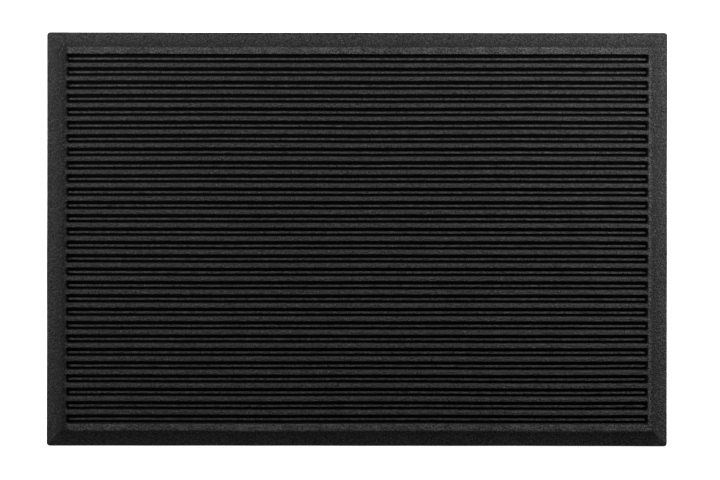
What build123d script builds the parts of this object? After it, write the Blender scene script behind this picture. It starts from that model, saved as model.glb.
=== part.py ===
from build123d import *

import math
import os

# A ribbed rubber door mat that lies flat on the floor. It is moulded in one piece and drawn here as the pieces
# that it divides into: a base sheet, four sides of bevelled border, the tread bars between the grooves, and the
# low scraper rib that stands in each groove. They meet face to face and share no space.
#
# Millimetres. X runs along the grooves, Y across them from front to rear, and Z is up. The origin is the centre of
# the underside, on the floor.

# Overall size
MAT_LENGTH = 600.0
MAT_WIDTH = 400.0
MAT_HEIGHT = 9.0
CORNER_RADIUS = 3.0

# Bevelled edge: an upright lip, then a slightly hollow ramp up to the crest
LIP_HEIGHT = 2.0
LIP_ROUND = 0.8
BEVEL_RUN = 16.0
BEVEL_HOLLOW = 0.6
CREST_ROUND = 4.0

# Flat bands on top, between the crest and the grooves
SIDE_BAND = 3.6
FRONT_BAND = 5.8

# Grooves, measured at the mouth; their walls lean outwards by the same amount all round
GROOVE_COUNT = 28
GROOVE_WIDTH = 9.45
GROOVE_LEAN = 1.4
GROOVE_END_RADIUS = 1.9
RIM_ROUND = 0.4

# Rubber left below the grooves, and the shallow grip channels in its underside
SHEET_THICKNESS = 4.0
GRIP_CHANNEL_WIDTH = 3.0
GRIP_CHANNEL_DEPTH = 1.0
GRIP_CHANNEL_SPACING = 30.0

# Scraper ribs, measured across the foot
RIB_WIDTH = 2.6
RIB_LEAN = 0.35
RIB_DROP = 2.0
RIB_TOP_ROUND = 0.35
RIB_END_GAP = 0.6

# Length of each tread bar's end that is drawn with the side border, past the groove's rounded corner
STUB_STRAIGHT = 1.0

# Worked out from the sizes above
groove_depth = MAT_HEIGHT - SHEET_THICKNESS
groove_half_length = MAT_LENGTH / 2 - BEVEL_RUN - SIDE_BAND
field_half_width = MAT_WIDTH / 2 - BEVEL_RUN - FRONT_BAND
first_groove_y = field_half_width - GROOVE_WIDTH / 2
groove_pitch = 2 * first_groove_y / (GROOVE_COUNT - 1)
sheet_half_length = groove_half_length - GROOVE_LEAN
sheet_half_width = field_half_width - GROOVE_LEAN
bar_half_length = groove_half_length - GROOVE_END_RADIUS - STUB_STRAIGHT
bar_top_width = groove_pitch - GROOVE_WIDTH
rib_length = 2 * (sheet_half_length - RIB_END_GAP)
rib_height = groove_depth - RIB_DROP
groove_draft = math.degrees(math.atan(GROOVE_LEAN / groove_depth))
rib_draft = math.degrees(math.atan(RIB_LEAN / rib_height))
tiny = 1e-3

groove_ys = [first_groove_y - k * groove_pitch for k in range(GROOVE_COUNT)]
bar_ys = [y - groove_pitch / 2 for y in groove_ys[:-1]]


def bevel_prism(span, depth):
    """A bar with the mat's cross-section, span wide, that runs depth along Y with its foot on the floor."""
    half = span / 2
    rise = MAT_HEIGHT - LIP_HEIGHT
    slant = math.hypot(BEVEL_RUN, rise)
    hollow_x = half - BEVEL_RUN / 2 - BEVEL_HOLLOW * rise / slant
    hollow_z = LIP_HEIGHT + rise / 2 - BEVEL_HOLLOW * BEVEL_RUN / slant
    with BuildSketch(Plane.XZ) as section:
        with BuildLine():
            Polyline((-half, LIP_HEIGHT), (-half, 0), (half, 0), (half, LIP_HEIGHT))
            ThreePointArc((half, LIP_HEIGHT), (hollow_x, hollow_z), (half - BEVEL_RUN, MAT_HEIGHT))
            Line((half - BEVEL_RUN, MAT_HEIGHT), (BEVEL_RUN - half, MAT_HEIGHT))
            ThreePointArc((BEVEL_RUN - half, MAT_HEIGHT), (-hollow_x, hollow_z), (-half, LIP_HEIGHT))
        make_face()
        corners = section.vertices().group_by(Axis.Y)
        fillet(corners[1], LIP_ROUND)
        fillet(corners[2], CREST_ROUND)
    return extrude(section.sketch, amount=depth / 2, both=True)


def mat_block():
    """The whole mat before its grooves: a rounded rectangle with a ramp down to each of its four sides."""
    plan = RectangleRounded(MAT_LENGTH, MAT_WIDTH, CORNER_RADIUS)
    block = extrude(plan, amount=MAT_HEIGHT)
    block &= bevel_prism(MAT_LENGTH, MAT_WIDTH)
    block &= Rot(0, 0, 90) * bevel_prism(MAT_WIDTH, MAT_LENGTH)
    return block


def groove_cutter():
    """The space of one groove: a rounded rectangle that narrows from its mouth to its floor."""
    mouth = RectangleRounded(2 * groove_half_length, GROOVE_WIDTH, GROOVE_END_RADIUS)
    return extrude(Pos(0, 0, MAT_HEIGHT) * mouth, amount=-groove_depth, taper=groove_draft)


def is_groove_rim(edge):
    """True for the top edges that run round the grooves' mouths."""
    box = edge.bounding_box()
    at_top = box.min.Z > MAT_HEIGHT - tiny
    inside_x = abs(box.center().X) < groove_half_length + tiny
    inside_y = abs(box.center().Y) < field_half_width + tiny
    where_bar_meets = box.size.X < tiny and abs(box.center().X) < bar_half_length + tiny
    return at_top and inside_x and inside_y and not where_bar_meets


def bevelled_border():
    """The block with the tread field, the grooves and the base sheet's place taken out of it."""
    field = Rectangle(2 * bar_half_length, 2 * first_groove_y)
    pocket = Rectangle(2 * sheet_half_length, 2 * sheet_half_width)
    border = mat_block()
    border -= extrude(Pos(0, 0, SHEET_THICKNESS) * field, amount=groove_depth)
    cutter = groove_cutter()
    border -= [Pos(0, y, 0) * cutter for y in groove_ys]
    border -= extrude(pocket, amount=SHEET_THICKNESS)
    return fillet(border.edges().filter_by(is_groove_rim), RIM_ROUND)


def border_side(border, along_x, sign):
    """One side of the border, cut from its neighbours along the lines where their ramps meet."""
    cut_line = [
        (MAT_LENGTH / 2, MAT_WIDTH / 2),
        (MAT_LENGTH / 2 - BEVEL_RUN, MAT_WIDTH / 2 - BEVEL_RUN),
        (groove_half_length, field_half_width),
        (sheet_half_length, sheet_half_width),
        (bar_half_length, first_groove_y),
    ]
    if along_x:
        near_end = [(x, sign * y) for x, y in cut_line]
        far_end = [(-x, y) for x, y in reversed(near_end)]
    else:
        near_end = [(sign * x, y) for x, y in cut_line]
        far_end = [(x, -y) for x, y in reversed(near_end)]
    plan = Polygon(*near_end, *far_end, align=None)
    return border & extrude(plan, amount=MAT_HEIGHT, dir=(0, 0, 1))


def channel_places(half_span):
    """Distances from the middle at which grip channels run, evenly spaced and clear of the sheet's edge."""
    count = int((half_span - GRIP_CHANNEL_WIDTH) / GRIP_CHANNEL_SPACING + 1 / 2)
    places = [(k + 1 / 2) * GRIP_CHANNEL_SPACING for k in range(count)]
    return [-place for place in reversed(places)] + places


def base_sheet():
    """The sheet below the grooves, with shallow channels both ways that leave square grip pads underneath."""
    length = 2 * sheet_half_length
    width = 2 * sheet_half_width
    sheet = extrude(Rectangle(length, width), amount=SHEET_THICKNESS)
    lengthwise = extrude(Rectangle(length, GRIP_CHANNEL_WIDTH), amount=GRIP_CHANNEL_DEPTH)
    crosswise = extrude(Rectangle(GRIP_CHANNEL_WIDTH, width), amount=GRIP_CHANNEL_DEPTH)
    sheet -= [Pos(0, y, 0) * lengthwise for y in channel_places(sheet_half_width)]
    sheet -= [Pos(x, 0, 0) * crosswise for x in channel_places(sheet_half_length)]
    return sheet


def tread_bar():
    """The bar between two grooves, with leaning sides and softened top edges, centred on Y = 0."""
    top = bar_top_width / 2
    foot = top + GROOVE_LEAN
    outline = [(-foot, SHEET_THICKNESS), (foot, SHEET_THICKNESS), (top, MAT_HEIGHT), (-top, MAT_HEIGHT)]
    section = Polygon(*outline, align=None)
    rims = section.vertices().filter_by(lambda vertex: vertex.Y > MAT_HEIGHT - tiny)
    section = fillet(rims, RIM_ROUND)
    return extrude(Plane.YZ * section, amount=bar_half_length, both=True)


def scraper_rib():
    """The low rib that stands along the middle of a groove, round-ended and clear of the groove's ends."""
    foot = Pos(0, 0, SHEET_THICKNESS) * SlotOverall(rib_length, RIB_WIDTH)
    rib = extrude(foot, amount=rib_height, taper=rib_draft)
    top = rib.faces().sort_by(Axis.Z)[-1]
    return fillet(top.outer_wire().edges(), RIB_TOP_ROUND)


def numbered(name, piece, ys):
    """One node at each place across the mat, counted from the rear."""
    return {f"{name}_{k:02d}": Pos(0, y, 0) * piece for k, y in enumerate(ys, start=1)}


border = bevelled_border()
nodes = {
    "base_sheet": base_sheet(),
    "border_front": border_side(border, along_x=True, sign=-1),
    "border_rear": border_side(border, along_x=True, sign=1),
    "border_left": border_side(border, along_x=False, sign=-1),
    "border_right": border_side(border, along_x=False, sign=1),
    **numbered("tread_bar", tread_bar(), bar_ys),
    **numbered("scraper_rib", scraper_rib(), groove_ys),
}

os.makedirs("parts", exist_ok=True)
for name, shape in nodes.items():
    export_step(shape, f"parts/{name}.step")
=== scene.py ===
import logging
import math
from abc import ABC, abstractmethod
from dataclasses import dataclass
from enum import Enum
from typing import ClassVar

import bmesh
import bpy
import numpy as np
from bpy.types import Material, Node, NodeOutputs, NodeSocket, NodeTree, Object
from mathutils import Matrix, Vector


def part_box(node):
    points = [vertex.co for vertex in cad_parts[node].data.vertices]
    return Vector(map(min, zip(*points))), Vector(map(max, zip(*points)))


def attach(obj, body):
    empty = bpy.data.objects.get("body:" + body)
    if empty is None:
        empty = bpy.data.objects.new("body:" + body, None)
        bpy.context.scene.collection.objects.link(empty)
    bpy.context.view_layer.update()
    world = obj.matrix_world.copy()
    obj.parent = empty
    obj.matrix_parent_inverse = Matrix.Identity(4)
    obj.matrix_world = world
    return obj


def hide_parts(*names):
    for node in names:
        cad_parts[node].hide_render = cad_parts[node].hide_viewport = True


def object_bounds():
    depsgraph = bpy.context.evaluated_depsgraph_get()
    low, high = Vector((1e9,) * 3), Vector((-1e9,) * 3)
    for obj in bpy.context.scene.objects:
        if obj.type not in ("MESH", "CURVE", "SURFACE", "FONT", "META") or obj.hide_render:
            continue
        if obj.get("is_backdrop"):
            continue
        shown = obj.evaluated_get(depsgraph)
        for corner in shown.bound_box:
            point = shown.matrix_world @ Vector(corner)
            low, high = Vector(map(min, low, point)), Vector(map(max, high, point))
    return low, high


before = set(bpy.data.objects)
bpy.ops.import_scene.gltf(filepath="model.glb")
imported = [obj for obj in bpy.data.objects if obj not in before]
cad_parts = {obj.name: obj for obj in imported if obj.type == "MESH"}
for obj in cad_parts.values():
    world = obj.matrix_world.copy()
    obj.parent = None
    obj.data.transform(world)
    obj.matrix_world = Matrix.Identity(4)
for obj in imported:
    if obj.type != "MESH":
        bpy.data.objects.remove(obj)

# A ribbed rubber door mat lying on a pale studio floor, seen from straight above. Every piece of it is a
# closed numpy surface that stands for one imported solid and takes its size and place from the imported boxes.
# Lengths are metres, with X along the grooves, Y towards the rear edge and Z up from the floor.

MM = 0.001
BODY = "root"
WHITE = (1.0, 1.0, 1.0, 1.0)
Array = np.ndarray
Tone = tuple[float, float, float]
log = logging.getLogger("door_mat")


class Slot(Enum):
    """The record's material slots."""

    BASE = "base_rubber"
    BORDER = "border_rubber"
    TREAD = "tread_rubber"
    RIB = "rib_rubber"


class Side(Enum):
    """The border's four sides: the node, whether it runs along X, and which way its outer edge faces."""

    FRONT = ("border_front", True, -1.0)
    REAR = ("border_rear", True, 1.0)
    LEFT = ("border_left", False, -1.0)
    RIGHT = ("border_right", False, 1.0)

    @property
    def node(self) -> str:
        """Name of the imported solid."""
        return self.value[0]

    @property
    def along_x(self) -> bool:
        """True for the front and rear, whose length lies along X."""
        return self.value[1]

    @property
    def facing(self) -> float:
        """Sign of the outer edge's place across the side."""
        return self.value[2]


@dataclass(frozen=True)
class MatPlan:
    """Sizes that the pieces share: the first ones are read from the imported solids, the rest are details."""

    half_length: float
    half_width: float
    height: float
    sheet_half_length: float
    sheet_half_width: float
    sheet_top: float
    bar_foot: float
    rib_half_length: float
    rib_foot: float
    rib_top: float
    bevel_run: float = 16.0 * MM
    bevel_hollow: float = 0.6 * MM
    lip_height: float = 2.0 * MM
    lip_round: float = 0.8 * MM
    crest_round: float = 4.0 * MM
    corner_radius: float = 3.0 * MM
    wall_lean: float = 1.4 * MM
    groove_end_radius: float = 1.9 * MM
    rim_round: float = 0.4 * MM
    rib_lean: float = 0.35 * MM
    rib_top_round: float = 0.35 * MM

    @property
    def mouth_half_length(self) -> float:
        """Half the length of a groove at the tread's top."""
        return self.sheet_half_length + self.wall_lean

    @property
    def mouth_half_width(self) -> float:
        """Distance from the middle to the outermost grooves' outer rims."""
        return self.sheet_half_width + self.wall_lean

    def lean_at(self, height: Array) -> Array:
        """How far a groove's wall has leant outwards from the mouth at some heights, in full at its foot."""
        depth = self.height - self.sheet_top
        return self.wall_lean * np.clip((self.height - height) / depth, 0.0, 1.0)

    @classmethod
    def from_frame(cls) -> "MatPlan":
        """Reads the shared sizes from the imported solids' boxes.

        Returns:
            The plan of the whole mat.
        """
        _, mat_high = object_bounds()
        _, sheet_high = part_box("base_sheet")
        bar_low, bar_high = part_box("tread_bar_01")
        rib_low, rib_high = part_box("scraper_rib_01")
        return cls(
            half_length=mat_high[0],
            half_width=mat_high[1],
            height=mat_high[2],
            sheet_half_length=sheet_high[0],
            sheet_half_width=sheet_high[1],
            sheet_top=sheet_high[2],
            bar_foot=bar_high[1] - bar_low[1],
            rib_half_length=rib_high[0],
            rib_foot=rib_high[1] - rib_low[1],
            rib_top=rib_high[2],
        )


@dataclass(frozen=True)
class Unevenness:
    """The slight waviness of a rubber moulding that has been rolled and laid flat again.

    It is a sum of long sine waves with fixed random directions, the same for every piece, so that pieces
    that touch move together.
    """

    drift: float = 0.14 * MM
    lift: float = 0.10 * MM
    shortest_wave: float = 80.0 * MM
    longest_wave: float = 260.0 * MM
    wave_count: int = 9
    seed: int = 11

    def _waves(self, x: Array, y: Array, channel: int) -> Array:
        """Sum of sines of turned and shifted distances, from one of several sets of waves."""
        rng = np.random.default_rng(self.seed + channel)
        heading = rng.uniform(0.0, 2.0 * math.pi, self.wave_count)
        length = np.geomspace(self.shortest_wave, self.longest_wave, self.wave_count)
        phase = rng.uniform(0.0, 2.0 * math.pi, self.wave_count)
        weight = np.sqrt(length / length.sum())
        along = x[..., None] * np.cos(heading) + y[..., None] * np.sin(heading)
        return (weight * np.sin(2.0 * math.pi * along / length + phase)).sum(axis=-1)

    def settle(self, points: Array, height: float) -> Array:
        """Moves points sideways by the waves, and upwards by a share of their height above the floor.

        Args:
            points: Places, with X, Y and Z last.
            height: The height at which the upward waves count in full.

        Returns:
            The moved points.
        """
        x, y, z = points[..., 0], points[..., 1], points[..., 2]
        move = np.stack(
            [
                self.drift * self._waves(x, y, 0),
                self.drift * self._waves(x, y, 1),
                self.lift * self._waves(x, y, 2) * z / height,
            ],
            axis=-1,
        )
        return points + move


def arc(centre: tuple[float, float], radius: float, start: float, end: float, steps: int) -> Array:
    """Points of a circle's arc: centre plus radius times cosine and sine of evenly spaced angles.

    Args:
        centre: The circle's centre in the section's plane.
        radius: The circle's radius.
        start: First angle in degrees.
        end: Last angle in degrees.
        steps: Number of spans, so one more point than this.

    Returns:
        An array of points in the section's plane.
    """
    angle = np.radians(np.linspace(start, end, steps + 1))
    return np.stack([centre[0] + radius * np.cos(angle), centre[1] + radius * np.sin(angle)], axis=-1)


def rounded_corner(before: Array, corner: Array, after: Array, radius: float, steps: int) -> Array:
    """Replaces the corner between two straight runs by the arc that touches both.

    The arc's ends lie radius / tan(half the inner angle) from the corner, and its centre lies on the angle's
    bisector at radius / sin(half the inner angle).

    Args:
        before: A point on the run into the corner.
        corner: The corner.
        after: A point on the run out of the corner.
        radius: The arc's radius.
        steps: Number of spans on the arc.

    Returns:
        The arc's points, from the first run to the second.
    """
    into = (before - corner) / np.linalg.norm(before - corner)
    out = (after - corner) / np.linalg.norm(after - corner)
    half_angle = 0.5 * math.acos(float(np.clip(into @ out, -1.0, 1.0)))
    bisector = (into + out) / np.linalg.norm(into + out)
    centre = corner + bisector * radius / math.sin(half_angle)
    first = corner + into * radius / math.tan(half_angle) - centre
    last = corner + out * radius / math.tan(half_angle) - centre
    start = math.degrees(math.atan2(first[1], first[0]))
    turn = math.degrees(math.atan2(last[1], last[0])) - start
    turn = (turn + 180.0) % 360.0 - 180.0
    return arc((float(centre[0]), float(centre[1])), radius, start, start + turn, steps)


def spaced(start: Array, end: Array, steps: int) -> Array:
    """Evenly spaced points on the straight run between two points, without the two ends."""
    share = np.linspace(0.0, 1.0, steps + 1)[1:-1, None]
    return start + (end - start) * share


def mirrored(right: Array) -> Array:
    """Completes a cross-section from its right half, which ends on the middle line."""
    left = right[-2::-1] * np.array([-1.0, 1.0])
    return np.concatenate([right, left])


def centre_across(node: str) -> float:
    """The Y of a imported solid's middle."""
    low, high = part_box(node)
    return (low[1] + high[1]) / 2


def skin(name: str, loops: Array, caps: list[Array] | None = None) -> Object:
    """Makes a closed mesh from loops of points carried along a path.

    Point j of station i joins point j + 1 of that station and point j of the next one, and the last point of
    a loop joins its first. The first and last loops are closed by one face each, or by several at a kink.

    Args:
        name: The new object's name.
        loops: Points, stations first, then places round the loop, then X, Y and Z.
        caps: For each face of an end, the places round the loop that it joins.

    Returns:
        The new object, linked to the scene.
    """
    stations, around, _ = loops.shape
    caps = caps or [np.arange(around)]
    index = np.arange(stations * around).reshape(stations, around)
    following = np.roll(index, -1, axis=1)
    quads = np.stack([index[:-1], following[:-1], following[1:], index[1:]], axis=-1).reshape(-1, 4)
    faces = quads.tolist()
    for cap in caps:
        faces += [index[0][cap][::-1].tolist(), index[-1][cap].tolist()]
    return make_object(name, loops.reshape(-1, 3), faces)


def make_object(name: str, points: Array, faces: list[list[int]]) -> Object:
    """Makes a smooth-shaded object at the origin, with its seams merged and its faces pointing outwards.

    Args:
        name: The new object's name.
        points: One row of X, Y and Z for each point.
        faces: The points of each face.

    Returns:
        The new object, linked to the scene.
    """
    merge_distance = 0.001 * MM
    crease = math.radians(32.0)
    mesh = bpy.data.meshes.new(name)
    mesh.from_pydata(points.tolist(), [], faces)
    shape = bmesh.new()
    shape.from_mesh(mesh)
    bmesh.ops.remove_doubles(shape, verts=shape.verts, dist=merge_distance)
    bmesh.ops.dissolve_degenerate(shape, edges=shape.edges, dist=merge_distance)
    bmesh.ops.recalc_face_normals(shape, faces=shape.faces)
    shape.to_mesh(mesh)
    shape.free()
    mesh.shade_smooth()
    mesh.set_sharp_from_angle(angle=crease)
    thing = bpy.data.objects.new(name, mesh)
    bpy.context.scene.collection.objects.link(thing)
    return thing


class Moulding(ABC):
    """A piece of the mat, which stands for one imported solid."""

    node: str
    slot: ClassVar[Slot]

    @abstractmethod
    def build(self) -> Object:
        """Makes the finished piece."""

    def dress(self, piece: Object, material: Material) -> None:
        """Gives the finished piece its material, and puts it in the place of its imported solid.

        Args:
            piece: The finished piece.
            material: The finish.
        """
        piece.data.materials.append(material)
        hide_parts(self.node)
        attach(piece, BODY)
        log.info("%s stands for %s with %d faces", piece.name, self.node, len(piece.data.polygons))


@dataclass(frozen=True)
class TreadBar(Moulding):
    """A full-height bar between two grooves, which widens into the side borders in hollow quarter rounds."""

    slot = Slot.TREAD
    node: str
    plan: MatPlan
    unevenness: Unevenness
    station_step: float = 3.0 * MM
    flare_steps: int = 5
    crown: float = 0.06 * MM

    def section(self) -> Array:
        """The bar's cross-section as half-width and height: leaning side, soft rim and crowned top.

        Returns:
            Points from the foot on the +Y side, over the top, to the foot on the -Y side.
        """
        plan = self.plan
        foot = plan.bar_foot / 2
        top = foot - plan.wall_lean
        foot_point = np.array([foot, plan.sheet_top])
        rim_point = np.array([top, plan.height])
        middle = np.array([0.0, plan.height])
        rim = rounded_corner(foot_point, rim_point, middle, plan.rim_round, 3)
        side = np.concatenate([foot_point[None], spaced(foot_point, rim[0], 3), rim])
        inner = spaced(rim[-1], middle, 3)
        rise = self.crown * (1 - (inner[:, 0] / top) ** 2)
        crowned = inner + np.stack([np.zeros(len(inner)), rise], axis=-1)
        peak = middle + np.array([0.0, self.crown])
        return mirrored(np.concatenate([side, crowned, peak[None]]))

    def stations(self, lean: Array) -> tuple[Array, Array]:
        """Places along the bar, and how much wider the bar is there than along its straight length.

        The widening is a quarter circle that touches the bar's side and the groove's end wall. Its radius is
        the end radius at the mouth less the lean of the walls.

        Args:
            lean: For each point of the section, how far the walls have leant outwards from the mouth.

        Returns:
            Two arrays, stations first and points of the section second: X, and the added half-width.
        """
        plan = self.plan
        start = plan.mouth_half_length - plan.groove_end_radius
        radius = plan.groove_end_radius - lean
        turn = np.linspace(0.0, math.pi / 2, self.flare_steps + 1)[:, None]
        flare_x = start + radius * np.sin(turn)
        flare_y = radius * (1.0 - np.cos(turn))
        tongue_x = np.full((1, len(lean)), plan.mouth_half_length + plan.rim_round)
        end_x = np.concatenate([flare_x, tongue_x])
        end_y = np.concatenate([flare_y, flare_y[-1:]])
        count = int(2 * start / self.station_step)
        straight = np.linspace(-start, start, count)[1:-1, None]
        straight_x = np.broadcast_to(straight, (len(straight), len(lean)))
        x = np.concatenate([-end_x[::-1], straight_x, end_x])
        y = np.concatenate([end_y[::-1], np.zeros_like(straight_x), end_y])
        return x, y

    def build(self) -> Object:
        """Carries the section along the bar.

        Returns:
            The finished piece.
        """
        plan = self.plan
        section = self.section()
        x, widen = self.stations(plan.lean_at(section[:, 1]))
        half_width = section[:, 0] + np.sign(section[:, 0]) * widen
        height = np.broadcast_to(section[:, 1], x.shape)
        loops = np.stack([x, centre_across(self.node) + half_width, height], axis=-1)
        return skin(f"{self.node}_rubber", self.unevenness.settle(loops, plan.height))


@dataclass(frozen=True)
class ScraperRib(Moulding):
    """The low rib in the middle of a groove, with round ends and a narrow rounded top."""

    slot = Slot.RIB
    node: str
    plan: MatPlan
    unevenness: Unevenness
    station_step: float = 3.0 * MM
    end_steps: int = 6

    def section(self) -> Array:
        """The rib's cross-section as half-width and height, from foot to foot over the top."""
        plan = self.plan
        foot_point = np.array([plan.rib_foot / 2, plan.sheet_top])
        top_point = np.array([plan.rib_foot / 2 - plan.rib_lean, plan.rib_top])
        middle = np.array([0.0, plan.rib_top])
        rim = rounded_corner(foot_point, top_point, middle, plan.rib_top_round, 3)
        side = np.concatenate([foot_point[None], spaced(foot_point, rim[0], 3), rim])
        return mirrored(np.concatenate([side, spaced(rim[-1], middle, 2), middle[None]]))

    def build(self) -> Object:
        """Carries the section along the rib, and round both ends.

        At an end the section turns about an upright axis, so the rib closes in a round nose: X is the axis
        plus the half-width times the sine of the turn, and Y is the half-width times its cosine.

        Returns:
            The finished piece.
        """
        plan = self.plan
        section = self.section()
        half = np.abs(section[:, 0])
        axis_x = plan.rib_half_length - plan.rib_foot / 2
        turn = np.linspace(0.0, math.pi / 2, self.end_steps + 1)[:, None]
        nose_x = axis_x + half * np.sin(turn)
        nose_share = np.broadcast_to(np.cos(turn), nose_x.shape)
        count = int(2 * axis_x / self.station_step)
        straight = np.linspace(-axis_x, axis_x, count)[1:-1, None]
        straight_x = np.broadcast_to(straight, (len(straight), len(half)))
        x = np.concatenate([-nose_x[::-1], straight_x, nose_x])
        share = np.concatenate([nose_share[::-1], np.ones_like(straight_x), nose_share])
        height = np.broadcast_to(section[:, 1], x.shape)
        loops = np.stack([x, centre_across(self.node) + section[:, 0] * share, height], axis=-1)
        return skin(f"{self.node}_rubber", self.unevenness.settle(loops, plan.height))


@dataclass(frozen=True)
class BorderSide(Moulding):
    """One mitred side of the border: lip, hollow ramp, crest, flat band and the outermost groove's wall."""

    slot = Slot.BORDER
    side: Side
    plan: MatPlan
    unevenness: Unevenness
    station_step: float = 3.0 * MM
    end_steps: int = 6
    ramp_steps: int = 9
    mitre_softness: float = 0.8 * MM
    mitre_nearest: float = 0.4 * MM
    mitre_farthest: float = 2.4 * MM
    mitre_stations: int = 5

    @property
    def node(self) -> str:
        """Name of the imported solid."""
        return self.side.node

    @property
    def half_span(self) -> float:
        """Half the side's length at its outer edge."""
        return self.plan.half_length if self.side.along_x else self.plan.half_width

    @property
    def half_across(self) -> float:
        """Distance from the mat's middle to the side's outer edge."""
        return self.plan.half_width if self.side.along_x else self.plan.half_length

    @property
    def mouth_inset(self) -> float:
        """Distance from the outer edge to the groove's rim."""
        plan = self.plan
        mouth = plan.mouth_half_width if self.side.along_x else plan.mouth_half_length
        return self.half_across - mouth

    def section(self) -> Array:
        """The border's cross-section as distance in from the outer edge and height.

        The ramp is a shallow hollow from the lip's top to the crest, drawn as a parabola: at a share s of
        the run it lies four times the hollow times s times (1 - s) below the chord.

        Returns:
            Points from the floor at the outer edge, over the crest, to the floor at the inner wall.
        """
        plan = self.plan
        lip = np.array([0.0, plan.lip_height])
        crest = np.array([plan.bevel_run, plan.height])
        share = np.linspace(0.0, 1.0, self.ramp_steps + 1)
        ramp = lip + (crest - lip) * share[:, None]
        ramp[:, 1] -= 4.0 * plan.bevel_hollow * share * (1.0 - share)
        mouth = np.array([self.mouth_inset, plan.height])
        wall_foot = np.array([self.mouth_inset + plan.wall_lean, plan.sheet_top])
        lip_arc = rounded_corner(np.array([0.0, 0.0]), lip, ramp[1], plan.lip_round, 3)
        crest_arc = rounded_corner(ramp[-2], crest, mouth, plan.crest_round, 4)
        rim_arc = rounded_corner(crest, mouth, wall_foot, plan.rim_round, 3)
        clear = (ramp[:, 0] > lip_arc[-1, 0]) & (ramp[:, 0] < crest_arc[0, 0])
        return np.concatenate(
            [
                np.array([[0.0, 0.0]]),
                lip_arc,
                ramp[clear],
                crest_arc,
                spaced(crest_arc[-1], rim_arc[0], 3),
                rim_arc,
                spaced(rim_arc[-1], wall_foot, 3),
                wall_foot[None],
                np.array([[wall_foot[0], 0.0], [self.mouth_inset, 0.0], [plan.bevel_run, 0.0]]),
                spaced(np.array([plan.bevel_run, 0.0]), np.array([0.0, 0.0]), 3),
            ]
        )

    def ends(self, section: Array) -> tuple[Array, Array, Array, Array]:
        """How each line of the section ends at the mitre.

        Outside the crest a line turns through 45 degrees, on a radius that shrinks from the corner's to
        nothing. From crest to rim it runs straight to the mitre. On the front and rear, the rim and the wall
        turn through 90 degrees on the groove's end radius, which fills its corner.

        Args:
            section: Inset and height of each line.

        Returns:
            For each line: where its end begins, how far it reaches on, the radius it turns on, and the turn.
        """
        plan = self.plan
        inset, height = section[:, 0], section[:, 1]
        other_mouth = plan.mouth_half_length if self.side.along_x else plan.mouth_half_width
        knots = [0.0, plan.bevel_run, self.mouth_inset, self.mouth_inset + plan.wall_lean]
        places = [self.half_span, self.half_span - plan.bevel_run, other_mouth, other_mouth - plan.wall_lean]
        corner = np.interp(inset, knots, places)
        radius = plan.corner_radius * np.clip(1.0 - inset / plan.bevel_run, 0.0, 1.0)
        shortest = 0.5 * MM
        radius_or_least = np.maximum(radius, shortest)
        start = corner - radius_or_least
        eighth = math.pi / 4
        unseen_turn = 0.01
        reach = np.where(radius > shortest, radius * math.sin(eighth), radius_or_least)
        turn_radius = np.where(radius > shortest, radius, 0.0)
        turn = np.where(radius > shortest, eighth, unseen_turn)
        if self.side.along_x:
            on_wall = (inset > self.mouth_inset - plan.rim_round) & (height > plan.sheet_top - shortest)
            flare = plan.groove_end_radius - plan.lean_at(height)
            start = np.where(on_wall, plan.mouth_half_length - plan.groove_end_radius, start)
            reach = np.where(on_wall, flare, reach)
            turn_radius = np.where(on_wall, flare, turn_radius)
            turn = np.where(on_wall, math.pi / 2, turn)
        return start, reach, turn_radius, turn

    def mitre_faces(self, section: Array) -> list[Array]:
        """Splits the mitre's end into three flat faces, at the crest and at the rim, where the mitre turns.

        Args:
            section: Inset and height of each line.

        Returns:
            For each face, the lines that it joins.
        """
        plan = self.plan
        on_floor = section[:, 1] < plan.lip_height / 2
        offset = np.abs(section[:, :1] - np.array([plan.bevel_run, self.mouth_inset]))
        top_crest, top_rim = np.where(on_floor[:, None], np.inf, offset).argmin(axis=0)
        low_crest, low_rim = np.where(on_floor[:, None], offset, np.inf).argmin(axis=0)
        outer = np.concatenate([np.arange(top_crest + 1), np.arange(low_crest, len(section))])
        band = np.concatenate([np.arange(top_crest, top_rim + 1), np.arange(low_rim, low_crest + 1)])
        wall = np.arange(top_rim, low_rim + 1)
        return [outer, band, wall]

    def mitre_drop(self, along: Array, inward: Array, height: Array) -> Array:
        """How far the ramp sinks near the mitre, which rounds the ridge between two ramps.

        With d the difference between a point's distances from the neighbouring side and from its own, and r
        the softness, the ramp sinks by slope times r times log(1 + exp(-d / r)). Flat places stay.

        Args:
            along: Places along the side.
            inward: Distances in from the side.
            height: Heights of the section's lines.

        Returns:
            The drop of each point.
        """
        plan = self.plan
        on_ramp = (inward < plan.bevel_run) & (height > plan.lip_height) & (height < plan.height)
        slope = np.where(on_ramp, (plan.height - plan.lip_height) / plan.bevel_run, 0.0)
        gap = np.maximum(self.half_span - np.abs(along) - inward, 0.0)
        return slope * self.mitre_softness * np.log1p(np.exp(-gap / self.mitre_softness))

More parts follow.
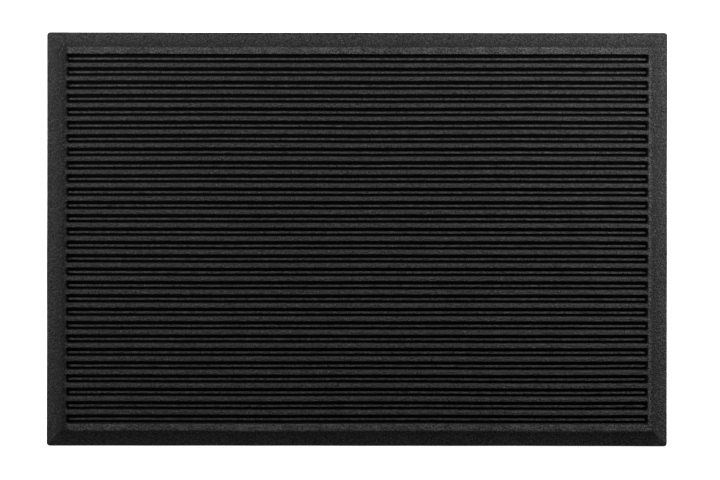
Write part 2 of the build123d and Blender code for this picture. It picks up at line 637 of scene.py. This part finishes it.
    def build(self) -> Object:
        """Carries the section from one mitre to the other.

        Along a line's end, the place along the side is start + reach * sin(share * turn) / sin(turn), and
        the line moves inwards by radius * (1 - cos(share * turn)). More stations stand near the mitres.

        Returns:
            The finished piece.
        """
        plan = self.plan
        section = self.section()
        start, reach, radius, turn = self.ends(section)
        share = np.linspace(0.0, 1.0, self.end_steps + 1)[:, None]
        end_along = start + reach * np.sin(share * turn) / np.sin(turn)
        end_inward = radius * (1.0 - np.cos(share * turn))
        count = int(2 * plan.half_length / self.station_step)
        near_mitre = np.linspace(self.mitre_nearest, self.mitre_farthest, self.mitre_stations)
        close = 1.0 - near_mitre / plan.half_width
        shares = np.concatenate([-close, np.linspace(-1.0, 1.0, count)[1:-1], close[::-1]])
        straight = np.sort(shares)[:, None] * start
        along = np.concatenate([-end_along[::-1], straight, end_along])
        inward = np.concatenate([end_inward[::-1], np.zeros_like(straight), end_inward]) + section[:, 0]
        height = section[:, 1] - self.mitre_drop(along, inward, section[:, 1])
        across = self.side.facing * (self.half_across - inward)
        plan_places = [along, across] if self.side.along_x else [across, along]
        loops = np.stack([*plan_places, height], axis=-1)
        settled = self.unevenness.settle(loops, plan.height)
        return skin(f"{self.node}_rubber", settled, self.mitre_faces(section))


@dataclass(frozen=True)
class BaseSheet(Moulding):
    """The sheet below the grooves, with crossing channels in its underside that leave square grip pads."""

    slot = Slot.BASE
    plan: MatPlan
    unevenness: Unevenness
    channel_width: float = 3.0 * MM
    channel_depth: float = 1.0 * MM
    channel_spacing: float = 30.0 * MM
    channel_lean: float = 0.3 * MM
    node: str = "base_sheet"

    def lines(self, half_span: float) -> tuple[Array, Array]:
        """Grid lines across one direction of the sheet, and the channels' depth on each.

        A channel is a trapezium: it falls from nothing to its depth over the lean on each side.

        Args:
            half_span: Half the sheet's size in that direction.

        Returns:
            The lines' places, and the depth there.
        """
        count = int((half_span - self.channel_width) / self.channel_spacing + 0.5)
        first = -(count - 0.5) * self.channel_spacing
        centres = first + self.channel_spacing * np.arange(2 * count)
        half = self.channel_width / 2
        offsets = np.array([-half, self.channel_lean - half, 0.0, half - self.channel_lean, half])
        depths = self.channel_depth * np.array([0.0, 1.0, 1.0, 1.0, 0.0])
        pads = (centres[:-1] + centres[1:]) / 2
        places = np.concatenate([[-half_span], (centres[:, None] + offsets).ravel(), pads, [half_span]])
        depth = np.concatenate([[0.0], np.tile(depths, len(centres)), np.zeros(len(pads)), [0.0]])
        order = np.argsort(places)
        return places[order], depth[order]

    def build(self) -> Object:
        """Joins the plain top and the channelled underside, two height fields on one grid, at their edges.

        Returns:
            The finished piece.
        """
        plan = self.plan
        x, x_depth = self.lines(plan.sheet_half_length)
        y, y_depth = self.lines(plan.sheet_half_width)
        grid_x, grid_y = np.meshgrid(x, y, indexing="ij")
        under = np.maximum.outer(x_depth, y_depth)
        over = np.full_like(under, plan.sheet_top)
        top = np.stack([grid_x, grid_y, over], axis=-1).reshape(-1, 3)
        bottom = np.stack([grid_x, grid_y, under], axis=-1).reshape(-1, 3)
        index = np.arange(len(x) * len(y)).reshape(len(x), len(y))
        corners = [index[:-1, :-1], index[1:, :-1], index[1:, 1:], index[:-1, 1:]]
        quads = np.stack(corners, axis=-1).reshape(-1, 4)
        rim = np.concatenate([index[:-1, 0], index[-1, :-1], index[:0:-1, -1], index[0, :0:-1]])
        after = np.roll(rim, -1)
        below = len(top)
        walls = np.stack([rim + below, after + below, after, rim], axis=-1)
        faces = quads.tolist() + (quads[:, ::-1] + below).tolist() + walls.tolist()
        points = self.unevenness.settle(np.concatenate([top, bottom]), plan.height)
        return make_object(f"{self.node}_rubber", points, faces)


class NodeSheet:
    """A node tree being drawn, with short calls for adding and joining nodes.

    A mix node's colour sockets share their names with its other sockets, so they are taken by their place.
    """

    mix_first = 6
    mix_second = 7
    mix_result = 2

    def __init__(self, tree: NodeTree) -> None:
        """Starts drawing in an empty tree."""
        self.tree = tree

    def add(self, kind: str, **settings: object) -> Node:
        """Adds a node and sets its properties.

        Args:
            kind: The node's type name.
            **settings: Properties of the node, by name.

        Returns:
            The new node.
        """
        node = self.tree.nodes.new(kind)
        for key, value in settings.items():
            setattr(node, key, value)
        return node

    def join(self, output: NodeSocket, target: NodeSocket) -> None:
        """Links an output to an input."""
        self.tree.links.new(output, target)

    def feed(self, target: NodeSocket, value: object) -> None:
        """Links an input to a socket, or sets it to a number or to a red, green and blue tuple."""
        if isinstance(value, NodeSocket):
            self.join(value, target)
        else:
            target.default_value = (*value, 1.0) if isinstance(value, tuple) else value

    def noise(self, vector: NodeSocket, scale: float, detail: float, rough: float) -> NodeSocket:
        """Adds a noise texture.

        Args:
            vector: The coordinates that it reads.
            scale: Features to a metre.
            detail: Number of finer layers.
            rough: Strength of each finer layer.

        Returns:
            The noise's value.
        """
        node = self.add("ShaderNodeTexNoise")
        node.inputs["Scale"].default_value = scale
        node.inputs["Detail"].default_value = detail
        node.inputs["Roughness"].default_value = rough
        self.join(vector, node.inputs["Vector"])
        return node.outputs["Fac"]

    def ramp(self, value: NodeSocket, low: float, high: float, to_low: float = 0.0,
             to_high: float = 1.0) -> NodeSocket:
        """Maps a value smoothly from one range to another, held at both ends.

        Args:
            value: What to map.
            low: The value that gives to_low.
            high: The value that gives to_high.
            to_low: Result at the low end.
            to_high: Result at the high end.

        Returns:
            The mapped value.
        """
        node = self.add("ShaderNodeMapRange", interpolation_type="SMOOTHSTEP")
        node.inputs["From Min"].default_value = low
        node.inputs["From Max"].default_value = high
        node.inputs["To Min"].default_value = to_low
        node.inputs["To Max"].default_value = to_high
        self.join(value, node.inputs["Value"])
        return node.outputs["Result"]

    def group(self, tree: NodeTree, place: NodeSocket, **values: float) -> NodeOutputs:
        """Adds a group that reads the coordinates and has its other inputs set, and returns its outputs."""
        node = self.add("ShaderNodeGroup", node_tree=tree)
        self.join(place, node.inputs["Vector"])
        for key, value in values.items():
            node.inputs[key].default_value = value
        return node.outputs

    def math(self, operation: str, first: object, second: object) -> NodeSocket:
        """Adds a math node whose two inputs are sockets or plain numbers.

        Args:
            operation: The math node's operation.
            first: A socket or a number.
            second: A socket or a number.

        Returns:
            The result.
        """
        node = self.add("ShaderNodeMath", operation=operation)
        self.feed(node.inputs[0], first)
        self.feed(node.inputs[1], second)
        return node.outputs["Value"]

    def mix(self, share: NodeSocket, first: object, second: object) -> NodeSocket:
        """Mixes two colours, each a socket or a red, green and blue tuple.

        Args:
            share: How much of the second colour shows.
            first: The colour at 0.
            second: The colour at 1.

        Returns:
            The mixed colour.
        """
        node = self.add("ShaderNodeMix", data_type="RGBA")
        self.join(share, node.inputs["Factor"])
        self.feed(node.inputs[self.mix_first], first)
        self.feed(node.inputs[self.mix_second], second)
        return node.outputs[self.mix_result]

    def tint(self, colour: NodeSocket, strength: NodeSocket) -> NodeSocket:
        """Multiplies a colour by a value."""
        node = self.add("ShaderNodeMix", data_type="RGBA", blend_type="MULTIPLY")
        node.inputs["Factor"].default_value = 1.0
        self.join(colour, node.inputs[self.mix_first])
        self.join(strength, node.inputs[self.mix_second])
        return node.outputs[self.mix_result]


def new_group(name: str, inputs: dict[str, str], outputs: dict[str, str]) -> NodeSheet:
    """Makes an empty shader node group with named sockets.

    Args:
        name: The group's name.
        inputs: For each input, its socket type's last word.
        outputs: The same for each output.

    Returns:
        The group's sheet, with no nodes in it.
    """
    tree = bpy.data.node_groups.new(name, "ShaderNodeTree")
    for direction, sockets in (("INPUT", inputs), ("OUTPUT", outputs)):
        for key, kind in sockets.items():
            tree.interface.new_socket(key, in_out=direction, socket_type=f"NodeSocket{kind}")
    return NodeSheet(tree)


class MouldedGrain:
    """The mould's grain: fine bumps, specks that the finishes make glossier and paint with a pale glint, light
    and dark, and a faint cloudiness.

    Scales are features to a metre, and each range is the two noise values or distances between which a mask
    goes from none to full.
    """

    name = "moulded_grain"
    coarse_scale = 520.0
    fine_scale = 1500.0
    fine_share = 0.3
    shade_scale = 660.0
    shade_range = (0.37, 0.63)
    speck_edge = (0.48, 0.14)
    speck_patch_scale = 430.0
    speck_patch_range = (0.48, 0.66)
    cloud_scale = 38.0
    cloud_range = (0.3, 0.7)

    @classmethod
    def make(cls) -> NodeTree:
        """Draws the group.

        Returns:
            The group, which puts out the height, the light and dark, and the masks of specks and clouds.
        """
        sheet = new_group(
            cls.name,
            {"Vector": "Vector", "Specks": "Float"},
            {"Height": "Float", "Shade": "Float", "Speck": "Float", "Cloud": "Float"},
        )
        source = sheet.add("NodeGroupInput").outputs
        target = sheet.add("NodeGroupOutput").inputs
        place = source["Vector"]
        coarse = sheet.noise(place, cls.coarse_scale, 2.0, 0.6)
        fine = sheet.noise(place, cls.fine_scale, 1.0, 0.5)
        bumps = sheet.math("ADD", coarse, sheet.math("MULTIPLY", fine, cls.fine_share))
        sheet.join(bumps, target["Height"])
        shade = sheet.ramp(sheet.noise(place, cls.shade_scale, 3.0, 0.8), *cls.shade_range)
        sheet.join(shade, target["Shade"])
        cells = sheet.add("ShaderNodeTexVoronoi", feature="F1")
        sheet.join(place, cells.inputs["Vector"])
        sheet.join(source["Specks"], cells.inputs["Scale"])
        near_centre = sheet.ramp(cells.outputs["Distance"], *cls.speck_edge)
        chosen = sheet.ramp(sheet.noise(place, cls.speck_patch_scale, 2.0, 0.7), *cls.speck_patch_range)
        sheet.join(sheet.math("MULTIPLY", near_centre, chosen), target["Speck"])
        cloud = sheet.ramp(sheet.noise(place, cls.cloud_scale, 3.0, 0.6), *cls.cloud_range)
        sheet.join(cloud, target["Cloud"])
        return sheet.tree


class ShoeWearAndTopLight:
    """Scuffing of the highest faces, where shoes rub, together with painted light that makes them lighter than
    the rubber below: patchy, and faint past the ends of the grooves.
    """

    name = "shoe_wear_and_painted_light"
    depth = 0.7 * MM
    patch_scale = 95.0
    patch_range = (0.36, 0.66)
    least_patch = 0.5
    # Painted shade: this middle lies right of the mat's middle, so the wear and its painted light fade sooner
    # at the left end of the grooves, which darkens the left crest.
    worn_and_lit_middle = 2.5 * MM
    end_range = (2.0 * MM, -1.5 * MM)
    wear_and_light_past_ends = 0.1

    @classmethod
    def make(cls) -> NodeTree:
        """Draws the group.

        Top is the height of the highest faces. Reach is how far the wear and its painted light go to each side
        of its middle.

        Returns:
            The group, which puts out the mask of rubbed and painted-lit rubber.
        """
        inputs = {"Vector": "Vector", "Top": "Float", "Reach": "Float"}
        sheet = new_group(cls.name, inputs, {"WearAndLight": "Float"})
        source = sheet.add("NodeGroupInput").outputs
        target = sheet.add("NodeGroupOutput").inputs
        split = sheet.add("ShaderNodeSeparateXYZ")
        sheet.join(source["Vector"], split.inputs["Vector"])
        below = sheet.math("SUBTRACT", source["Top"], split.outputs["Z"])
        near_top = sheet.ramp(sheet.math("DIVIDE", below, cls.depth), 1.0, 0.0)
        noise = sheet.noise(source["Vector"], cls.patch_scale, 3.0, 0.65)
        patches = sheet.ramp(noise, *cls.patch_range, cls.least_patch, 1.0)
        aside = sheet.math("SUBTRACT", split.outputs["X"], cls.worn_and_lit_middle)
        beyond = sheet.math("SUBTRACT", sheet.math("ABSOLUTE", aside, 0.0), source["Reach"])
        trodden_and_end_shade = sheet.ramp(beyond, *cls.end_range, cls.wear_and_light_past_ends, 1.0)
        wear_and_light = sheet.math("MULTIPLY", sheet.math("MULTIPLY", near_top, patches), trodden_and_end_shade)
        sheet.join(wear_and_light, target["WearAndLight"])
        return sheet.tree


class LooseDust:
    """A few pale grains of grit and lint, one in some of the cells of a scattered pattern."""

    name = "loose_dust"
    cell_scale = 170.0
    grain_edge = (0.13, 0.05)

    @classmethod
    def make(cls) -> NodeTree:
        """Draws the group.

        Rarity is the share of cells that have no grain.

        Returns:
            The group, which puts out the mask of dust.
        """
        sheet = new_group(cls.name, {"Vector": "Vector", "Rarity": "Float"}, {"Dust": "Float"})
        source = sheet.add("NodeGroupInput").outputs
        target = sheet.add("NodeGroupOutput").inputs
        cells = sheet.add("ShaderNodeTexVoronoi", feature="F1")
        cells.inputs["Scale"].default_value = cls.cell_scale
        sheet.join(source["Vector"], cells.inputs["Vector"])
        grain = sheet.ramp(cells.outputs["Distance"], *cls.grain_edge)
        pick = sheet.add("ShaderNodeSeparateColor")
        sheet.join(cells.outputs["Color"], pick.inputs["Color"])
        chosen = sheet.math("GREATER_THAN", pick.outputs["Red"], source["Rarity"])
        sheet.join(sheet.math("MULTIPLY", grain, chosen), target["Dust"])
        return sheet.tree


@dataclass(frozen=True)
class RubberFinish:
    """One rubber surface: its colours, its gloss, and how strongly the grain, the specks with their painted
    glints, the wear with its painted top light and the dust show.

    Well below the top the tone is multiplied by a gain that paints light on the low faces, and near the floor
    by a gain that paints a highlight on the lip. Both fade out over a range of heights, given as shares of the
    top's height.
    """

    name: str
    tone: Tone
    painted_glint_tone: Tone
    worn_and_lit_tone: Tone
    grain_depth: float
    top_height: float
    wear_and_light_reach: float
    grain_strength: float = 1.0
    roughness: float = 0.60
    speck_roughness: float = 0.42
    sheen: float = 0.25
    dust_rarity: float = 0.96
    contrast: float = 1.0
    low_painted_light: float = 1.0
    lip_painted_highlight: float = 1.0
    specks: float = 620.0
    dust_tone: Tone = (0.10, 0.096, 0.09)
    cloud_share: float = 0.8
    worn_and_lit_contrast_share: float = 0.8
    low_painted_light_range: tuple[float, float] = (0.3, 0.95)
    lip_painted_highlight_range: tuple[float, float] = (0.18, 0.30)

    def make(self, grain: NodeTree, wear_and_light: NodeTree, dust: NodeTree) -> Material:
        """Draws the material.

        Args:
            grain: The moulded grain's group.
            wear_and_light: The group of shoe wear and painted top light.
            dust: The dust's group.

        Returns:
            The material.
        """
        material = bpy.data.materials.new(self.name)
        material.use_nodes = True
        sheet = NodeSheet(material.node_tree)
        shader = material.node_tree.nodes["Principled BSDF"]
        shader.inputs["Specular IOR Level"].default_value = self.sheen
        place = sheet.add("ShaderNodeTexCoord").outputs["Object"]
        moulded = sheet.group(grain, place, Specks=self.specks)
        worn_and_lit = sheet.group(wear_and_light, place, Top=self.top_height, Reach=self.wear_and_light_reach)
        dusted = sheet.group(dust, place, Rarity=self.dust_rarity)
        unworn_with_painted_light = self.unworn_colour_with_painted_light(sheet, place, moulded)
        # Painted light: the top faces take the worn tone, lighter than the rubber below them, partly as
        # scuffing and partly as painted light.
        shaded = sheet.mix(worn_and_lit["WearAndLight"], unworn_with_painted_light, self.worn_and_lit_colour(sheet, moulded["Shade"]))
        # Painted highlight: the specks take a pale colour that paints glints, over their real glossier finish.
        specked = sheet.mix(moulded["Speck"], shaded, self.painted_glint_tone)
        sheet.join(sheet.mix(dusted["Dust"], specked, self.dust_tone), shader.inputs["Base Color"])
        gloss = sheet.ramp(moulded["Speck"], 0.0, 1.0, self.roughness, self.speck_roughness)
        sheet.join(gloss, shader.inputs["Roughness"])
        sheet.join(self.bumps(sheet, moulded["Height"]), shader.inputs["Normal"])
        return material

    def shade(self, sheet: NodeSheet, grain: NodeSocket, contrast: float) -> NodeSocket:
        """Turns the grain's light and dark into a multiplier about 1, as strong as the contrast."""
        return sheet.ramp(grain, 0.0, 1.0, 1.0 - contrast, 1.0 + contrast)

    def unworn_colour_with_painted_light(self, sheet: NodeSheet, place: NodeSocket, moulded: NodeOutputs) -> NodeSocket:
        """Draws the colour of rubber that no shoe has rubbed, with painted light on its low faces and a
        painted highlight near the floor.

        Args:
            sheet: The material's sheet.
            place: The coordinates.
            moulded: What the grain's group puts out.

        Returns:
            The clouded and grain-shaded colour, made paler low down by painted light.
        """
        darker = tuple(self.cloud_share * part for part in self.tone)
        clouded = sheet.mix(moulded["Cloud"], darker, self.tone)
        split = sheet.add("ShaderNodeSeparateXYZ")
        sheet.join(place, split.inputs["Vector"])
        rise = sheet.math("DIVIDE", split.outputs["Z"], self.top_height)
        # Painted light: one gain lightens the low faces, and another lightens the faces near the floor as a
        # painted highlight on the lip.
        low = sheet.ramp(rise, *self.low_painted_light_range, self.low_painted_light, 1.0)
        lip = sheet.ramp(rise, *self.lip_painted_highlight_range, self.lip_painted_highlight, 1.0)
        shaded = sheet.tint(clouded, self.shade(sheet, moulded["Shade"], self.contrast))
        return sheet.tint(shaded, sheet.math("MULTIPLY", low, lip))

    def worn_and_lit_colour(self, sheet: NodeSheet, grain: NodeSocket) -> NodeSocket:
        """Draws the colour of the rubbed top faces, partly scuffed and partly painted light, with the grain's
        light and dark a little weaker.
        """
        tone = sheet.add("ShaderNodeRGB").outputs["Color"]
        tone.default_value = (*self.worn_and_lit_tone, 1.0)
        return sheet.tint(tone, self.shade(sheet, grain, self.worn_and_lit_contrast_share * self.contrast))

    def bumps(self, sheet: NodeSheet, height: NodeSocket) -> NodeSocket:
        """Turns the grain's height into a bumped normal."""
        bump = sheet.add("ShaderNodeBump")
        bump.inputs["Strength"].default_value = self.grain_strength
        bump.inputs["Distance"].default_value = self.grain_depth
        sheet.join(height, bump.inputs["Height"])
        return bump.outputs["Normal"]


@dataclass(frozen=True)
class Softbox:
    """A square diffused lamp, aimed at a point."""

    name: str
    place: tuple[float, float, float]
    power: float
    size: float = 0.6
    target: tuple[float, float, float] = (0.0, 0.0, 0.0)

    def hang(self) -> None:
        """Adds the lamp to the scene."""
        data = bpy.data.lights.new(self.name, "AREA")
        data.shape = "SQUARE"
        data.size = self.size
        data.energy = self.power
        lamp = bpy.data.objects.new(self.name, data)
        bpy.context.scene.collection.objects.link(lamp)
        aim = np.array(self.target) - np.array(self.place)
        heading = math.atan2(aim[1], aim[0])
        fall = math.atan2(math.hypot(aim[0], aim[1]), -aim[2])
        lamp.location = self.place
        lamp.rotation_euler = (0.0, -fall, heading)


@dataclass(frozen=True)
class Studio:
    """Pale floor, soft lamps, an even surround and the camera above the mat."""

    floor_half: float = 12.0
    floor_drop: float = 0.1 * MM
    floor_tone: Tone = (0.9, 0.9, 0.9)
    floor_roughness: float = 0.9
    floor_sheen: float = 0.1
    floor_glow: float = 1.0
    surround: float = 0.03
    lamps: tuple[Softbox, ...] = (
        Softbox("softbox_rear_left", (-0.60, 0.50, 0.36), 6.3),
        Softbox("softbox_rear_right", (0.60, 0.50, 0.36), 8.6),
        Softbox("softbox_rear", (0.0, 0.60, 0.45), 0.5),
        Softbox("softbox_left_low", (-0.95, -0.05, 0.20), 3.2),
        Softbox("softbox_right_low", (0.95, 0.32, 0.20), 6.8),
    )
    camera_height: float = 1.3
    camera_aside: tuple[float, float] = (2.9 * MM, -0.7 * MM)
    camera_turn: float = math.radians(0.06)
    view_width: float = 697.3 * MM
    sensor: float = 36.0

    def lay_floor(self) -> None:
        """Lays the floor just under the mat."""
        span = self.floor_half
        outline = [(-span, -span), (span, -span), (span, span), (-span, span)]
        corners = np.array([(x, y, -self.floor_drop) for x, y in outline])
        floor = make_object("studio_floor", corners, [[0, 1, 2, 3]])
        material = bpy.data.materials.new("pale_floor")
        material.use_nodes = True
        shader = material.node_tree.nodes["Principled BSDF"]
        shader.inputs["Base Color"].default_value = (*self.floor_tone, 1.0)
        shader.inputs["Roughness"].default_value = self.floor_roughness
        shader.inputs["Specular IOR Level"].default_value = self.floor_sheen
        shader.inputs["Emission Color"].default_value = WHITE
        shader.inputs["Emission Strength"].default_value = self.floor_glow
        floor.data.materials.append(material)
        floor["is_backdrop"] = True

    def light(self) -> None:
        """Hangs the lamps, and sets the even surround and the plain view of tones."""
        scene = bpy.context.scene
        scene.world = bpy.data.worlds.new("studio_surround")
        scene.world.use_nodes = True
        backdrop = scene.world.node_tree.nodes["Background"]
        backdrop.inputs["Color"].default_value = WHITE
        backdrop.inputs["Strength"].default_value = self.surround
        for lamp in self.lamps:
            lamp.hang()
        scene.view_settings.view_transform = "Standard"

    def mount_camera(self) -> None:
        """Hangs the camera over the mat, looking straight down."""
        data = bpy.data.cameras.new("camera")
        data.sensor_width = self.sensor
        data.lens = self.sensor * self.camera_height / self.view_width
        camera = bpy.data.objects.new("camera", data)
        camera.location = (*self.camera_aside, self.camera_height)
        camera.rotation_euler = (0.0, 0.0, self.camera_turn)
        bpy.context.scene.collection.objects.link(camera)
        bpy.context.scene.camera = camera

    def set_up(self) -> None:
        """Builds the whole studio."""
        self.mount_camera()
        self.lay_floor()
        self.light()


def mat_finishes(plan: MatPlan) -> dict[Slot, RubberFinish]:
    """The finish of each slot.

    Args:
        plan: The mat's sizes, for the heights at which shoes wear the rubber.

    Returns:
        plan: The mat's sizes, for the heights at which shoes wear the rubber and light is painted on it.
    """
    reach = plan.mouth_half_length
    # Painted shade: the base shows at the groove floors, and its very dark tone paints the shade there; the
    # gain on its low faces brings the underside back to a rubber tone.
    base = RubberFinish(
        name="base_rubber", tone=(0.004, 0.004, 0.004), painted_glint_tone=(0.008, 0.008, 0.008),
        worn_and_lit_tone=(0.004, 0.004, 0.004), grain_depth=0.4 * MM, top_height=plan.sheet_top, wear_and_light_reach=reach,
        grain_strength=0.8, roughness=0.75, speck_roughness=0.6, sheen=0.12, dust_rarity=0.98, contrast=0.5,
        low_painted_light=4.0, lip_painted_highlight=1.9,
    )
    # Painted light: the worn tone, about ten times the border's own, makes the band far lighter than the ramp,
    # partly as wear and partly as painted light; the low gain paints light on the ramp's outer part, and the
    # lip gain a painted highlight on the lip.
    border = RubberFinish(
        name="border_rubber", tone=(0.0052, 0.0052, 0.0052), painted_glint_tone=(0.070, 0.070, 0.071),
        worn_and_lit_tone=(0.054, 0.054, 0.054), grain_depth=1.6 * MM, top_height=plan.height, wear_and_light_reach=reach,
        sheen=0.12, low_painted_light=3.6, lip_painted_highlight=1.9,
    )
    tread = RubberFinish(
        name="tread_rubber", tone=(0.016, 0.016, 0.016), painted_glint_tone=(0.085, 0.085, 0.086),
        worn_and_lit_tone=(0.0255, 0.0255, 0.0255), grain_depth=1.2 * MM, top_height=plan.height, wear_and_light_reach=reach,
        speck_roughness=0.40, sheen=0.16, specks=700.0,
    )
    rib = RubberFinish(
        name="rib_rubber", tone=(0.020, 0.020, 0.020), painted_glint_tone=(0.050, 0.050, 0.051),
        worn_and_lit_tone=(0.030, 0.030, 0.030), grain_depth=1.0 * MM, top_height=plan.rib_top, wear_and_light_reach=reach,
    )
    return {Slot.BASE: base, Slot.BORDER: border, Slot.TREAD: tread, Slot.RIB: rib}


def mat_pieces(plan: MatPlan, unevenness: Unevenness) -> list[Moulding]:
    """Every piece of the mat, in the order in which it is built.

    Args:
        plan: The mat's sizes.
        unevenness: The waviness that all pieces share.

    Returns:
        The pieces, not yet built.
    """
    nodes = sorted(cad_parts)
    pieces: list[Moulding] = [BaseSheet(plan, unevenness)]
    pieces += [BorderSide(side, plan, unevenness) for side in Side]
    pieces += [TreadBar(node, plan, unevenness) for node in nodes if node.startswith("tread_bar")]
    pieces += [ScraperRib(node, plan, unevenness) for node in nodes if node.startswith("scraper_rib")]
    return pieces


def main() -> None:
    """Builds the studio and the mat."""
    logging.basicConfig(level=logging.INFO, format="%(message)s")
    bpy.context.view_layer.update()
    plan = MatPlan.from_frame()
    Studio().set_up()
    groups = (MouldedGrain.make(), ShoeWearAndTopLight.make(), LooseDust.make())
    materials = {slot: finish.make(*groups) for slot, finish in mat_finishes(plan).items()}
    for piece in mat_pieces(plan, Unevenness()):
        piece.dress(piece.build(), materials[piece.slot])


if __name__ == "__main__":
    main()
